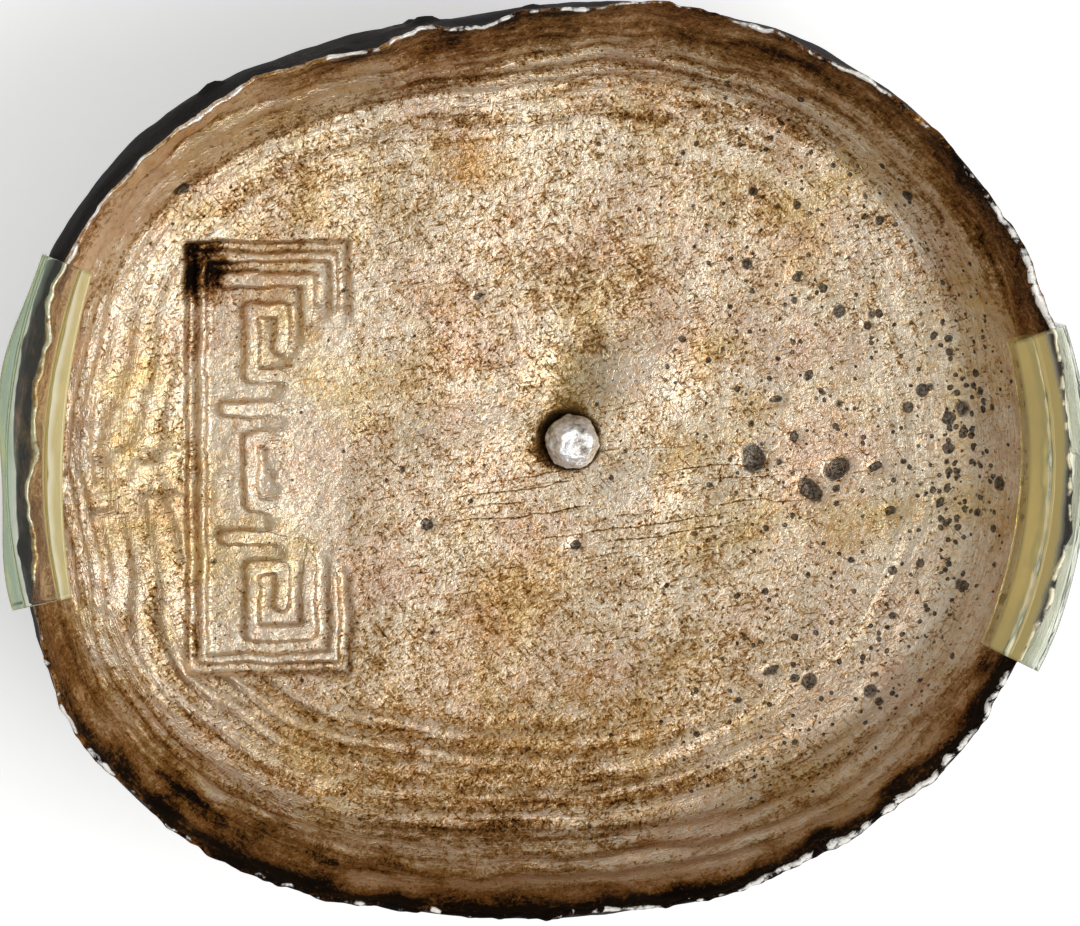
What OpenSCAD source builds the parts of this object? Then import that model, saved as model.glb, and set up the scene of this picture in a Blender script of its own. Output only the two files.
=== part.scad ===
// Oval silver ingot, cast as a thick dish with a thin ragged rim and a bright bead at its middle.
// A sunk panel with a raised border is struck into the left of the dish.
// Two clear clips ride on the rim, one at each end, and pull straight up to come off.
// The ingot stands on its flat base at z = 0, with its long side along X.

/* [Ingot] */
// Length of the oval at its widest line
ingot_l = 66; // [58:1:80]
// Width of the oval at its widest line
ingot_w = 57; // [50:1:70]
// Height of the rim above the base
ingot_h = 24.5; // [22.5:0.5:32]
// Turn of the oval's long axis from X, in degrees
oval_turn = 5; // [0:1:15]
// Squareness of the oval, where 2 is an ellipse
oval_power = 2.3; // [2:0.1:3]
// Height of the low swells that hand casting leaves round the oval
swell_h = 0.25; // [0:0.05:0.5]
// Number of those swells
swell_count = 5; // [3:1:7]
// Direction of the first swell, in degrees
swell_at = 71; // [0:1:72]
// Height of the outer wall's widest line
belly_h = 18.5; // [13:0.5:20]
// Inset of the flat base from the widest line
base_inset = 13; // [8:0.5:15]
// Fullness of the outer wall's curve, where 1 is a straight taper and 2 is a quarter ellipse
wall_fullness = 1.5; // [1.2:0.1:2]

/* [Rim] */
// Thickness of the rim at its crest
rim_t = 0.7; // [0.5:0.05:1.2]
// Drop from the crest to the edges of its rounded top
crest_round = 0.25; // [0.1:0.05:0.5]
// Inset of the crest where the rim stands upright
rim_inset = 0.15; // [0:0.05:0.5]
// Further inset of the crest where the rim leans in the most
rim_lean = 0.85; // [0:0.05:1.2]
// Direction in which the rim leans in the most, in degrees
rim_lean_at = 145; // [120:1:170]
// Angle to each side over which that lean fades out, in degrees
rim_lean_span = 70; // [40:1:90]
// Ragged wander of the crest, inwards and outwards
rim_ragged = 0.12; // [0:0.02:0.2]
// Uneven height of the crest, up and down
rim_wave = 0.3; // [0:0.05:0.6]
// Depth of each dent where the crest was pushed in
dent_depth = 0.5; // [0:0.05:0.8]
// Angle over which each dent fades out, in degrees
dent_span = 7; // [4:1:12]

/* [Dish] */
// Height of the dish's floor at its middle
floor_h = 14; // [9:0.5:15.5]
// Rise of the floor from its middle to the foot of the wall
floor_rise = 1.5; // [0.5:0.1:3]
// Inset of the foot of the inner wall from the widest line
foot_inset = 5; // [4:0.25:7]
// Power of the inner wall's curve, where a higher one stands straighter
inner_power = 2.2; // [1.6:0.1:3]
// Number of ripples that the cooling silver left round the floor
ripple_count = 6; // [2:1:8]
// Distance from one ripple to the next
ripple_pitch = 1.3; // [0.9:0.1:1.6]
// Height of a ripple from trough to ridge
ripple_h = 0.3; // [0.1:0.05:0.5]

/* [Struck panel] */
// Width of the panel, along X
panel_w = 10.4; // [7:0.1:12]
// Length of the panel, along Y
panel_l = 27.6; // [20:0.1:30]
// Distance from the oval's left end to the panel's left edge
panel_gap = 10.8; // [9:0.2:13]
// Place of the panel's middle along Y
panel_y = -0.1; // [-3:0.1:3]
// Height of the panel's flat ground over the middle of the floor
panel_lift = 0.1; // [-0.4:0.05:0.3]
// Distance from the panel's edge to its raised border
border_gap = 0.7; // [0.4:0.05:1.2]
// Width of the raised border
border_w = 0.6; // [0.4:0.05:1]
// Height of the raised border over the panel's ground
border_h = 0.4; // [0.2:0.05:0.6]

/* [Bead] */
// Diameter of the bead
bead_d = 3.5; // [2.4:0.1:5]
// Place of the bead along X
bead_x = 2.6; // [-3:0.1:3]
// Place of the bead along Y
bead_y = 0.8; // [-3:0.1:3]
// Height of the bead's blunt top over the floor
bead_h = 1.9; // [1.2:0.1:2.6]
// Height of the ball's centre over the floor
bead_rise = 0.3; // [0.1:0.05:0.6]
// Diameter of the stem that roots the bead
stem_d = 2.6; // [1.6:0.1:3]
// Depth of the stem's socket under the floor
socket_depth = 1.4; // [1:0.1:2]
// Clearance round the stem
stem_gap = 0.02; // [0.01:0.01:0.05]
// Width of the hollow round the bead
moat_w = 0.8; // [0.5:0.1:1.4]
// Depth of the hollow round the bead
moat_depth = 0.6; // [0.4:0.05:0.9]

/* [Clips] */
// Length of a clip along the rim
clip_l = 21.5; // [12:0.5:28]
// Turn of the line through both clips from X, in degrees
clip_turn = -4; // [-12:1:8]
// Thickness of the outer leg
outer_leg_t = 0.5; // [0.4:0.05:1.2]
// Thickness of the inner leg
inner_leg_t = 1; // [0.8:0.05:2.5]
// Reach of the outer leg below the bridge
outer_leg_l = 5; // [3:0.25:6]
// Reach of the inner leg below the bridge
inner_leg_l = 2.6; // [2:0.2:4]
// Thickness of the bridge over the rim
bridge_t = 0.6; // [0.5:0.05:1.5]
// Height of the roll along the inner leg over the bridge's top
roll_h = 0.4; // [0.35:0.05:0.8]
// Bevel on the clip's top edges
clip_bevel = 0.25; // [0.1:0.05:0.3]
// Clearance between a clip and the rim
clip_gap = 0.3; // [0.2:0.05:0.5]

/* [Hidden] */

// Facets round the oval, rings in each stretch of the ingot's section, and steps in which the rim
// under a clip is measured
oval_facets = 90;
wall_rings = 7;
lip_rings = 3;
inner_rings = 6;
floor_rings = 4;
clip_steps = 16;
// Margin by which a cut runs past the surface that it opens
cut_past = 1;
$fn = 64;

// Waves that make the crest wander and rise, each as [share, number round the oval, phase]
wander_waves = [[0.6, 13, 40], [0.4, 22, 0]];
height_waves = [[0.5, 3, 30], [0.3, 8, 0], [0.2, 19, 75]];

// Height of each ring of a ripple, as a share of the ripple: a step up and a slow fall
ripple_steps = [0, 0.5, -0.5];

// Directions of the two dents in the crest, and of the two clips
dent_at = [98, 112];
left_clip_at = 180 + clip_turn;
right_clip_at = clip_turn;

// Distance from the middle to the widest line, in the direction a
function oval(a) =
    let (t = a - oval_turn)
    pow(
        pow(abs(cos(t)) / (ingot_l / 2), oval_power) + pow(abs(sin(t)) / (ingot_w / 2), oval_power),
        -1 / oval_power
    ) + swell_h * cos(swell_count * (a - swell_at));

// Angle from a to b, from -180 to 180 degrees
function turn(a, b) = let (d = (b - a) % 360) d > 180 ? d - 360 : d < -180 ? d + 360 : d;

// A smooth hump of height 1 at the angle at, gone at span degrees to each side
function hump(a, at, span) = let (d = abs(turn(at, a))) d < span ? pow(cos(90 * d / span), 2) : 0;

// Sum of a list of waves in the direction a
function waves(list, a) = [for (w = list) w[0]] * [for (w = list) sin(w[1] * a + w[2])];

// Inset of the crest's outer edge from the widest line
function crest_inset(a) =
    rim_inset
    + rim_lean * hump(a, rim_lean_at, rim_lean_span)
    + rim_ragged * waves(wander_waves, a)
    + dent_depth * (hump(a, dent_at[0], dent_span) + hump(a, dent_at[1], dent_span));

// Height of the crest
function crest_h(a) = ingot_h + rim_wave * waves(height_waves, a);

// Height of the floor at the share f of the way from its middle to the foot of the wall
function floor_at(f) = floor_h + floor_rise * f * f;

// Inset of the inner wall's top edge, and of the inner wall at the height h
function inner_top(a) = crest_inset(a) + rim_t;
function inner_climb(a, h) = (h - floor_at(1)) / (crest_h(a) - crest_round - floor_at(1));
function inner_wall(a, h) = inner_top(a) + (foot_inset - inner_top(a)) * pow(1 - inner_climb(a, h), inner_power);

// A point of the outer wall as [inset, height], where t is 0 at the base and 90 at the widest line
function outer_wall(t) =
    let (k = 2 / wall_fullness)
    [base_inset * (1 - pow(sin(t), k)), belly_h * (1 - pow(cos(t), k))];

// The ingot's section in the direction a, as [inset from the widest line, height],
// from the edge of the base, over the rim, to the last ripple
function section(a) = concat(
    [for (i = [0:wall_rings]) outer_wall(90 * i / wall_rings)],
    [for (i = [1:lip_rings])
        let (v = i / lip_rings)
        [crest_inset(a) * v * v, belly_h + (crest_h(a) - crest_round - belly_h) * v]],
    [[crest_inset(a) + rim_t / 2, crest_h(a)]],
    [for (i = [0:inner_rings])
        let (h = crest_h(a) - crest_round - (crest_h(a) - crest_round - floor_at(1)) * sin(90 * i / inner_rings))
        [inner_wall(a, h), h]],
    [for (i = [1:ripple_count * len(ripple_steps)])
        let (d = foot_inset + ripple_pitch * i / len(ripple_steps))
        [d, floor_at(floor_share(a, d)) + ripple(i)]]
);

// Share of the way from the floor's middle to the foot of the wall, at the inset d
function floor_share(a, d) = (oval(a) - d) / (oval(a) - foot_inset);

// Height of the i-th ring of the ripples over the plain floor
function ripple(i) = ripple_h * ripple_steps[i % len(ripple_steps)];

// One point of the ingot's skin, d inside the widest line at the height h
function skin_point(a, d, h) = [(oval(a) - d) * cos(a), (oval(a) - d) * sin(a), h];

// Rings of points joined into one closed skin: a flat foot at the first ring, a point at the last
module closed_skin(rings, tip) {
    n = len(rings[0]);
    m = len(rings);
    points = concat([for (ring = rings) each ring], [tip]);
    sides = [for (k = [0:m - 2], i = [0:n - 1])
        let (j = (i + 1) % n, p = k * n + i, q = k * n + j, r = (k + 1) * n + j, s = (k + 1) * n + i)
        each [[p, r, q], [p, s, r]]];
    foot = [[for (i = [0:n - 1]) i]];
    top = [for (i = [0:n - 1]) [(m - 1) * n + i, m * n, (m - 1) * n + (i + 1) % n]];
    polyhedron(points, concat(foot, sides, top), convexity = 8);
}

// The plain casting, with neither the struck panel nor the bead's seat
module casting() {
    angles = [for (i = [0:oval_facets - 1]) 360 * i / oval_facets];
    sections = [for (a = angles) section(a)];
    last_inset = foot_inset + ripple_pitch * ripple_count;
    rings = concat(
        [for (k = [0:len(sections[0]) - 1])
            [for (i = [0:oval_facets - 1]) skin_point(angles[i], sections[i][k][0], sections[i][k][1])]],
        [for (k = [1:floor_rings - 1])
            let (f = 1 - k / floor_rings)
            [for (a = angles)
                let (r = (oval(a) - last_inset) * f)
                [r * cos(a), r * sin(a), floor_at(r / (oval(a) - foot_inset))]]]
    );
    closed_skin(rings, [0, 0, floor_h]);
}

// Room that the struck panel takes out of the dish, leaving its border standing
module panel_cut() {
    left_edge = panel_gap - oval(180);
    inner_w = panel_w - 2 * border_gap;
    inner_l = panel_l - 2 * border_gap;
    translate([left_edge + panel_w / 2, panel_y, floor_h + panel_lift]) {
        linear_extrude(ingot_h - floor_h + cut_past) difference() {
            square([panel_w, panel_l], center = true);
            square([inner_w, inner_l], center = true);
        }
        linear_extrude(ingot_h - floor_h + cut_past)
            square([inner_w - 2 * border_w, inner_l - 2 * border_w], center = true);
        translate([0, 0, border_h])
            linear_extrude(ingot_h - floor_h + cut_past)
                square([inner_w + border_gap, inner_l + border_gap], center = true);
    }
}

// Hollow round the bead, and the socket under it
module bead_seat() {
    moat_r = bead_d / 2 + moat_w;
    translate([bead_x, bead_y, floor_h]) {
        rotate_extrude() polygon([
            [0, -socket_depth],
            [stem_d / 2 + stem_gap, -socket_depth],
            [stem_d / 2 + stem_gap, -moat_depth],
            [bead_d / 2, -moat_depth],
            [moat_r, 0],
            [moat_r, cut_past],
            [0, cut_past]
        ]);
    }
}

module ingot_body() {
    color("tan") difference() {
        casting();
        panel_cut();
        bead_seat();
    }
}

// The last drop of silver to set: a blunt ball on a stem that fills its socket
module centre_bead() {
    color("gainsboro") translate([bead_x, bead_y, floor_h]) rotate_extrude() {
        intersection() {
            translate([0, bead_rise]) circle(d = bead_d);
            translate([0, -moat_depth / 2]) square([bead_d, bead_h + moat_depth / 2]);
        }
        translate([0, -socket_depth]) square([stem_d / 2, socket_depth]);
    }
}

// Angle to each side of a clip's middle that its length takes, and the angles under it
function clip_half(at) = asin(clip_l / 2 / oval(at));
function clip_angles(at) =
    [for (i = [0:clip_steps]) at - clip_half(at) + 2 * clip_half(at) * i / clip_steps];

// Height of the bridge's underside, clear of the rim under both clips
bridge_h = max([for (at = [left_clip_at, right_clip_at], a = clip_angles(at)) crest_h(a)]) + clip_gap;

// A clip's two ends and its middle on the widest line
function clip_marks(at) = [for (a = [at - clip_half(at), at, at + clip_half(at)]) skin_point(a, 0, 0)];

// Circle through those three points, which the clip is bent to, as [x, y, radius]
function clip_circle(at) =
    let (
        marks = clip_marks(at),
        sides = [marks[1] - marks[2], marks[2] - marks[0], marks[0] - marks[1]],
        squares = [for (m = marks) m * m],
        twice = 2 * [for (m = marks) m.x] * [for (s = sides) s.y],
        x = squares * [for (s = sides) s.y] / twice,
        y = -squares * [for (s = sides) s.x] / twice
    )
    [x, y, norm(marks[0] - [x, y, 0])];

// Inset of a point from such a circle
function circle_inset(circle, p) = circle.z - norm([p.x - circle.x, p.y - circle.y]);

// A clip's section as [inset from its circle, height]: an outer leg, a bridge, and an inner leg with
// a roll on top. Both legs stay clear of the rim all along the clip.
function clip_section(at) =
    let (
        circle = clip_circle(at),
        low = bridge_h - inner_leg_l,
        top = bridge_h + bridge_t,
        roll_top = top + roll_h,
        outer_side = min([for (a = clip_angles(at)) circle_inset(circle, skin_point(a, 0, 0))]) - clip_gap,
        outer = outer_side - outer_leg_t,
        inner_side = max([for (a = clip_angles(at))
            circle_inset(circle, skin_point(a, inner_wall(a, low), low))]) + clip_gap,
        inner = inner_side + inner_leg_t
    )
    [
        [outer, bridge_h - outer_leg_l],
        [outer_side, bridge_h - outer_leg_l],
        [outer_side, bridge_h],
        [inner_side, bridge_h],
        [inner_side, low],
        [inner, low],
        [inner, roll_top - clip_bevel],
        [inner - clip_bevel, roll_top],
        [inner_side + clip_bevel, roll_top],
        [inner_side, roll_top - clip_bevel],
        [inner_side, top],
        [outer + clip_bevel, top],
        [outer, top - clip_bevel]
    ];

// One clip: its section bent round its circle
module clip(at) {
    circle = clip_circle(at);
    marks = clip_marks(at);
    middle = (marks[0] + marks[2]) / 2 - [circle.x, circle.y, 0];
    half = asin(norm(marks[2] - marks[0]) / 2 / circle.z);
    color("palegoldenrod", 0.5)
        translate([circle.x, circle.y, 0])
            rotate(atan2(middle.y, middle.x) - half)
                rotate_extrude(angle = 2 * half)
                    polygon([for (p = clip_section(at)) [circle.z - p[0], p[1]]]);
}

module left_clip() {
    clip(left_clip_at);
}

module right_clip() {
    clip(right_clip_at);
}

ingot_body();
centre_bead();
left_clip();
right_clip();
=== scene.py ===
# %% [markdown]
# # An oval silver ingot, from the mould to the tarnish
# The object is a heavy oval dish of nearly pure silver, poured into a mould and left to set.
# The thin rim froze first, ripples followed ring by ring, and a bead stayed at the middle.
# Two clear clips ride on the rim. The CAD frame says where each piece is and how the clips lift,
# and this lesson models and finishes the surfaces that the eye sees.

# %% Load the frame
import math
from functools import partial

import bpy
import numpy as np
from mathutils import Matrix, Vector, noise


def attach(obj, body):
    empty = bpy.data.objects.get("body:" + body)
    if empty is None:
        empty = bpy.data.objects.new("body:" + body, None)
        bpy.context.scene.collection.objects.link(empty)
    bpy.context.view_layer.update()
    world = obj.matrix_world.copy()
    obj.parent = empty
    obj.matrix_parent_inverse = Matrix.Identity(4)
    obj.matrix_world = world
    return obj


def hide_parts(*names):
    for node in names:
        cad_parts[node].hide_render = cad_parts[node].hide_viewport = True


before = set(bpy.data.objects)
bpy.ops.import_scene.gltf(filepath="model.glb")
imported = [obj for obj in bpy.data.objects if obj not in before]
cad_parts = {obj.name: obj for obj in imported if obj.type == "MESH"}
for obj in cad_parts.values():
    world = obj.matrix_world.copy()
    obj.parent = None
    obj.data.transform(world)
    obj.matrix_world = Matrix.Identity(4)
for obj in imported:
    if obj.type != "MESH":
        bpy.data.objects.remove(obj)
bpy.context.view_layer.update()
MM = 0.001

# %% [markdown]
# ## The plan and the section
# The ingot's plan is a rounded oval, a little turned, with low swells from hand casting. Its section
# is a flat base, a flared outer wall, a thin crest and an inner wall that runs out into the floor.
# The CAD solid follows the same rule, so it is repeated here in millimetres, and each surface below
# is laid on it. Measuring the solid's facets instead would copy their flats into the silver.

# %% Plan of the oval
INGOT_L, INGOT_W, INGOT_H = 66, 57, 24.5
OVAL_TURN, OVAL_POWER = 5, 2.3
SWELL_H, SWELL_COUNT, SWELL_AT = 0.25, 5, 71


def sine(degrees):
    return np.sin(np.radians(degrees))


def cosine(degrees):
    return np.cos(np.radians(degrees))


def oval(a):
    """Distance from the middle to the widest line, in mm, in the direction a in degrees."""
    along = np.abs(cosine(a - OVAL_TURN)) / (INGOT_L / 2)
    across = np.abs(sine(a - OVAL_TURN)) / (INGOT_W / 2)
    plain = (along**OVAL_POWER + across**OVAL_POWER) ** (-1 / OVAL_POWER)
    return plain + SWELL_H * cosine(SWELL_COUNT * (a - SWELL_AT))


print("oval reaches, in mm:", [round(float(oval(a)), 2) for a in (0, 90, 180, 270)])

# %% Section of the rim and the dish
BELLY_H, BASE_INSET, WALL_FULLNESS = 18.5, 13, 1.5
RIM_T, CREST_ROUND, RIM_INSET = 0.7, 0.25, 0.15
RIM_LEAN, RIM_LEAN_AT, RIM_LEAN_SPAN = 0.85, 145, 70
RIM_RAGGED, RIM_WAVE = 0.12, 0.3
DENT_DEPTH, DENT_SPAN, DENT_AT = 0.5, 7, (98, 112)
FLOOR_H, FLOOR_RISE, FOOT_INSET, INNER_POWER = 14, 1.5, 5, 2.2
WANDER_WAVES = ((0.6, 13, 40), (0.4, 22, 0))
HEIGHT_WAVES = ((0.5, 3, 30), (0.3, 8, 0), (0.2, 19, 75))


def waves(parts, a):
    return sum(share * sine(count * a + phase) for share, count, phase in parts)


def hump(a, at, span):
    """A smooth hump of height 1 in the direction at, gone at span degrees to each side."""
    away = np.abs((a - at + 180) % 360 - 180)
    return np.where(away < span, cosine(90 * away / span) ** 2, 0)


def humps(a, parts):
    """Sum of humps, each as its height, its direction and the angle at which it is gone."""
    return sum(tall * hump(a, at, span) for tall, at, span in parts)


def crest_inset(a):
    dents = sum(hump(a, at, DENT_SPAN) for at in DENT_AT)
    lean = RIM_LEAN * hump(a, RIM_LEAN_AT, RIM_LEAN_SPAN)
    return RIM_INSET + lean + RIM_RAGGED * waves(WANDER_WAVES, a) + DENT_DEPTH * dents


def crest_h(a):
    return INGOT_H + RIM_WAVE * waves(HEIGHT_WAVES, a)


def floor_at(share):
    return FLOOR_H + FLOOR_RISE * share**2


def inner_wall(a, climb, top):
    """Inset and height of the inner wall. climb is 0 at its foot and 1 at its top, top mm in."""
    inset = top + (FOOT_INSET - top) * (1 - climb) ** INNER_POWER
    return inset, floor_at(1) + (crest_h(a) - CREST_ROUND - floor_at(1)) * climb


print("crest height in mm:", round(float(crest_h(np.arange(360)).max()), 2))

# %% Knocks in the rim
# The rim is pushed in by more knocks, too slight for the CAD solid. Each is its depth in mm, its
# direction and the angle at which it is gone
KNOCKS = ((0.3, 167, 5), (0.45, 178, 9), (0.5, 189, 6), (-0.25, 204, 14), (0.3, 48, 30), (0.45, 337, 9))


def crest_line(a):
    return crest_inset(a) + humps(a, KNOCKS)


print("knocks:", len(KNOCKS))

# %% [markdown]
# ## The dish
# The dish is the part that the eye reads: ripples, dents, a struck panel and a ragged rim. It could
# be a disc of rings, but rings crowd at the middle and thin out at the rim. A square sheet of even
# cells, drawn out to the oval ring by ring, keeps the cells alike all over. The struck panel needs
# finer cells, so its part of the sheet is subdivided before the sheet is laid into the dish.

# %% A square sheet of cells
FLOOR_RINGS, WALL_RINGS, CREST_RINGS = 82, 33, 5
RINGS = FLOOR_RINGS + WALL_RINGS + CREST_RINGS
PANEL_W, PANEL_L, PANEL_GAP, PANEL_Y = 10.4, 27.6, 10.8, -0.1
PANEL_X = PANEL_GAP - float(oval(180)) + PANEL_W / 2


def read(obj, name="co"):
    """The places or the normals of a mesh's points, one row each."""
    flat = np.empty(3 * len(obj.data.vertices))
    obj.data.vertices.foreach_get(name, flat)
    return flat.reshape(-1, 3)


def sheet_rings(uv):
    """Ring number and direction of the sheet's points: each square ring becomes an oval ring."""
    u, v = uv[:, 0], uv[:, 1]
    wide = np.abs(u) >= np.abs(v)
    long_side = np.where(wide, u, v)
    slope = np.where(wide, v, u) / np.where(long_side == 0, 1, long_side)
    a = np.where(wide, 45 * slope, 90 - 45 * slope) + np.where(long_side < 0, 180, 0)
    return RINGS * np.abs(long_side), a % 360


bpy.ops.object.select_all(action="DESELECT")
bpy.ops.mesh.primitive_grid_add(x_subdivisions=2 * RINGS, y_subdivisions=2 * RINGS, size=2)
ingot = bpy.context.object
ingot.name = "silver_casting"
print("sheet:", len(ingot.data.polygons), "cells")

# %% Finer cells under the struck panel
PANEL_MARGIN = 0.7


def edit(kind, action="SELECT"):
    """Opens a mesh for editing, with all or none of its points, edges or faces selected."""
    bpy.ops.object.mode_set(mode="EDIT")
    bpy.ops.mesh.select_mode(type=kind)
    bpy.ops.mesh.select_all(action=action)


centres = np.array([face.center for face in ingot.data.polygons])
ring, a = sheet_rings(centres)
reach = (oval(a) - FOOT_INSET) * ring / FLOOR_RINGS
near_panel = (np.abs(reach * cosine(a) - PANEL_X) < PANEL_W / 2 + PANEL_MARGIN) & (
    np.abs(reach * sine(a) - PANEL_Y) < PANEL_L / 2 + PANEL_MARGIN
)
edit("FACE", "DESELECT")
bpy.ops.object.mode_set(mode="OBJECT")
ingot.data.polygons.foreach_set("select", near_panel)
bpy.ops.object.mode_set(mode="EDIT")
bpy.ops.mesh.subdivide(number_cuts=1)
bpy.ops.object.mode_set(mode="OBJECT")
print("panel cells:", int(near_panel.sum()), "of", len(ingot.data.polygons))

# %% Lay the sheet into the dish
EDGE_T, EDGE_LEAST, MEAN_R, SEED_STEP = 0.42, 0.7, 30, 7.3
# The crest's thickness is uneven, and it is thicker in some directions
EDGE_LUMPS = ((0.6, 3.4, 40), (0.5, 1.1, 45))
EDGE_THICKER = ((0.7, 318, 40), (0.4, 20, 40), (0.3, 178, 20))


def write(obj, places):
    obj.data.vertices.foreach_set("co", (places * MM).ravel())
    obj.data.update()


def lumps(points, size, seed=0):
    """Noise from about -1 to 1, with lumps that are size mm across."""
    return np.array([noise.noise(p) for p in (points / size + SEED_STEP * seed).tolist()])


def uneven(points, parts):
    """Noise of several sizes: each part is its height, the size of its lumps in mm, and its seed."""
    return sum(tall * lumps(points, size, seed) for tall, size, seed in parts)


ring, a = sheet_rings(read(ingot))
share = np.clip(ring / FLOOR_RINGS, 0, 1)
climb = np.clip((ring - FLOOR_RINGS) / WALL_RINGS, 0, 1)
over = 180 * np.clip((ring - FLOOR_RINGS - WALL_RINGS) / CREST_RINGS, 0, 1)
around = np.column_stack((MEAN_R * cosine(a), MEAN_R * sine(a), 0 * a))
edge_t = EDGE_T * (1 + uneven(around, EDGE_LUMPS)) * (EDGE_LEAST + humps(a, EDGE_THICKER))
inset, height = inner_wall(a, climb, crest_line(a) + edge_t)
on_floor = ring < FLOOR_RINGS
height = np.where(on_floor, floor_at(share), height + CREST_ROUND * sine(over))
inset = inset - edge_t / 2 * (1 - cosine(over))
reach = np.where(on_floor, (oval(a) - FOOT_INSET) * share, oval(a) - inset)
inset = oval(a) - reach
plain = np.column_stack((reach * cosine(a), reach * sine(a), height))
write(ingot, plain)
print("dish from", plain.min(0).round(2), "to", plain.max(0).round(2), "mm")

# %% [markdown]
# ## Ripples and unevenness
# Each ring of silver that set left a low ridge, steep on one side. On the ingot they are strong at
# the lower left, fine and close at the right, and broad at the top and the bottom. A wave along the
# distance from the rim gives the ridges, and slow noise bends them so that they wander and merge.

# %% Ripples
# Each system is its pitch, its height, its direction, how far it spreads to each side, and the
# distances from the widest line at which it starts and ends
RIPPLES = (
    (1.55, 0.32, 226, 84, 2.6, 14.0),
    (1.60, 0.28, 176, 50, 3.4, 10.5),
    (1.90, 0.28, 96, 74, 2.4, 10.0),
    (2.10, 0.34, 296, 62, 1.8, 11.0),
    (1.20, 0.08, 0, 60, 4.0, 12.0),
    (2.60, 0.55, 136, 30, 2.6, 6.5),
)
WANDER_LUMPS = ((1.6, 9, 1), (0.35, 3.5, 2), (0.1, 1.1, 48))
SWELL_LUMPS = ((0.22, 9, 4), (0.1, 3.5, 5))
# How much steeper one side of a ridge is, and the share, count and stray of the finer ridges
STEEPER, FINE_SHARE, FINE_COUNT, FINE_STRAY = 25, 0.35, 2.3, 140


def soft(low, high, value):
    """A smooth step from 0 at low to 1 at high."""
    t = np.clip((value - low) / (high - low), 0, 1)
    return t * t * (3 - 2 * t)


def streaks(long, wide, seed):
    """Noise that is drawn out along the rim: long mm along it and wide mm across."""
    return lumps(np.column_stack((around[:, :2] / long, inset / wide)), 1, seed)


x, y = plain.T[:2]
wander = uneven(plain, WANDER_LUMPS)
strength = np.clip(0.85 + streaks(12, 1.8, 3), 0.15, 1.5)
flow = inset - 0.8 * (height - floor_at(1)) * (climb > 0)
ripples = np.zeros(len(plain))
for pitch, tall, at, span, start, end in RIPPLES:
    turn = 360 * (flow + wander) / pitch
    ridge = sine(turn + STEEPER * sine(turn))
    ridge += FINE_SHARE * sine(FINE_COUNT * turn + FINE_STRAY * wander)
    reach_in = soft(start - 1.5, start + 1, inset) * (1 - soft(end - 4, end, inset))
    ripples += tall / 2 * ridge * hump(a, at, span) * reach_in * strength
swell = uneven(plain, SWELL_LUMPS)
print("ripples from", ripples.min().round(3), "to", ripples.max().round(3), "mm")

# %% Layers up the inner wall
# Noise that is drawn out along the rim gives the uneven layers that the cooling metal left there
LAYER_H, LUMP_H = 0.24, 0.3
GRAIN_LUMPS = ((0.025, 0.8, 8), (0.02, 0.5, 9))
on_wall = soft(0, 0.3, climb)
layers = LAYER_H * streaks(12, 1.0, 6) * soft(0.02, 0.3, climb) * (1 - soft(0.8, 1, climb))
lumpy = LUMP_H * lumps(plain, 2.4, 7) * on_wall * (1 - soft(0.75, 1, climb))
cast_grain = uneven(plain, GRAIN_LUMPS)
print("layers up to", layers.max().round(3), "mm")

# %% [markdown]
# ## Hollows, dents and pits
# A hollow lies over the bead, the bead sits in a moat, and knocks left small dents beside the panel.
# Gas left pits, which are dark with tarnish. Each is a round or long bowl pushed into the floor, and
# what is too small for the mesh is left to the material.

# %% Hollows and dents
BEAD_X, BEAD_Y, BEAD_D = 2.6, 0.8, 3.5
WARP, WARP_SIZE = 0.3, 1.2
warped_x = x + WARP * lumps(plain, WARP_SIZE, 33)
warped_y = y + WARP * lumps(plain, WARP_SIZE, 34)


def bowl(at_x, at_y, long, wide, tilt=0):
    """1 at the middle of an uneven oval bowl, falling smoothly to 0 at its edge."""
    dx, dy = warped_x - at_x, warped_y - at_y
    along = (dx * cosine(tilt) + dy * sine(tilt)) / long
    across = (dy * cosine(tilt) - dx * sine(tilt)) / wide
    return 1 - soft(0, 1, np.hypot(along, across))


def bowls(parts):
    """Sum of bowls, each as its height, its place, its half length, its half width and its tilt."""
    return sum(tall * bowl(*shape) for tall, *shape in parts)


# One hollow, and three low mounds that lie round the bead
HOLLOWS = (
    (-0.55, 2.4, 4.6, 4.6, 3.2, 56),
    (0.2, -4, 0, 6, 4.5),
    (0.2, 7, -2, 4.5, 3, 20),
    (0.25, 7.6, 5.4, 5, 3.6, 40),
)
hollow = bowls(HOLLOWS)
draw = np.random.default_rng(11)
DENTS, DENT_ROOM = 16, ((-28.0, -23.0), (-3.4, 3.4))
DENT_SIZES, DENT_TILTS, DENT_DEEP, DENT_BURR = (0.6, 1.2), (-35, 15), 0.3, 0.16
dents = np.zeros(len(plain))
for _ in range(DENTS):
    at_x, at_y = draw.uniform(*DENT_ROOM[0]), draw.uniform(*DENT_ROOM[1])
    size, tilt = draw.uniform(*DENT_SIZES), draw.uniform(*DENT_TILTS)
    dents -= DENT_DEEP * size * bowl(at_x, at_y, size, 0.5 * size, tilt)
    dents += DENT_BURR * size * bowl(at_x + 0.5 * size, at_y - 0.45 * size, size, 0.4 * size, tilt)
print("dents:", DENTS, "deepest", dents.min().round(2), "mm")

# %% Seat of the bead
# The moat is wide on one side of the bead. The hidden socket has room round and under the stem
MOAT_W, MOAT_DEPTH, STEM_D, SOCKET_DEPTH = 0.8, 0.6, 2.6, 1.4
WIDE_SIDE, SOCKET_GAP, STEM_GAP = -30, 0.35, 0.2

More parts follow.
